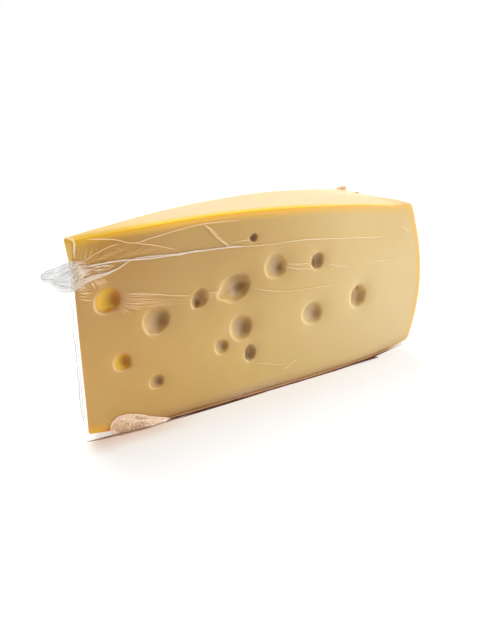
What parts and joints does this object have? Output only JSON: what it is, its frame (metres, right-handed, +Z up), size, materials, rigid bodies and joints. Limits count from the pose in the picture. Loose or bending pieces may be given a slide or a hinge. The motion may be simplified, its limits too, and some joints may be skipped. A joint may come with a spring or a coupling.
{
  "type": "wrapped cheese wedge",
  "caption": "Slim wedge of large-eyed yellow cheese in tight clear film, with a domed top, a bulging rind end, a blunt tip and a twist of film standing out from the tip.",
  "frame": {"origin": "middle of the flat part of the underside, in the plane the wedge rests on", "axes": "+X from the tip to the rind along the front cut face, +Y from the front cut face towards the rear one, +Z up"},
  "size_m": [0.2197, 0.061, 0.1016],
  "materials": {
    "cheese": "smooth, slightly translucent semi-hard cheese, paler in the middle and deeper yellow under the rind",
    "film": "thin clear cling film, glossy, with stretch wrinkles"
  },
  "bodies": {
    "root": {"cheese": "cheese", "film": "film"}
  },
  "joints": []
}
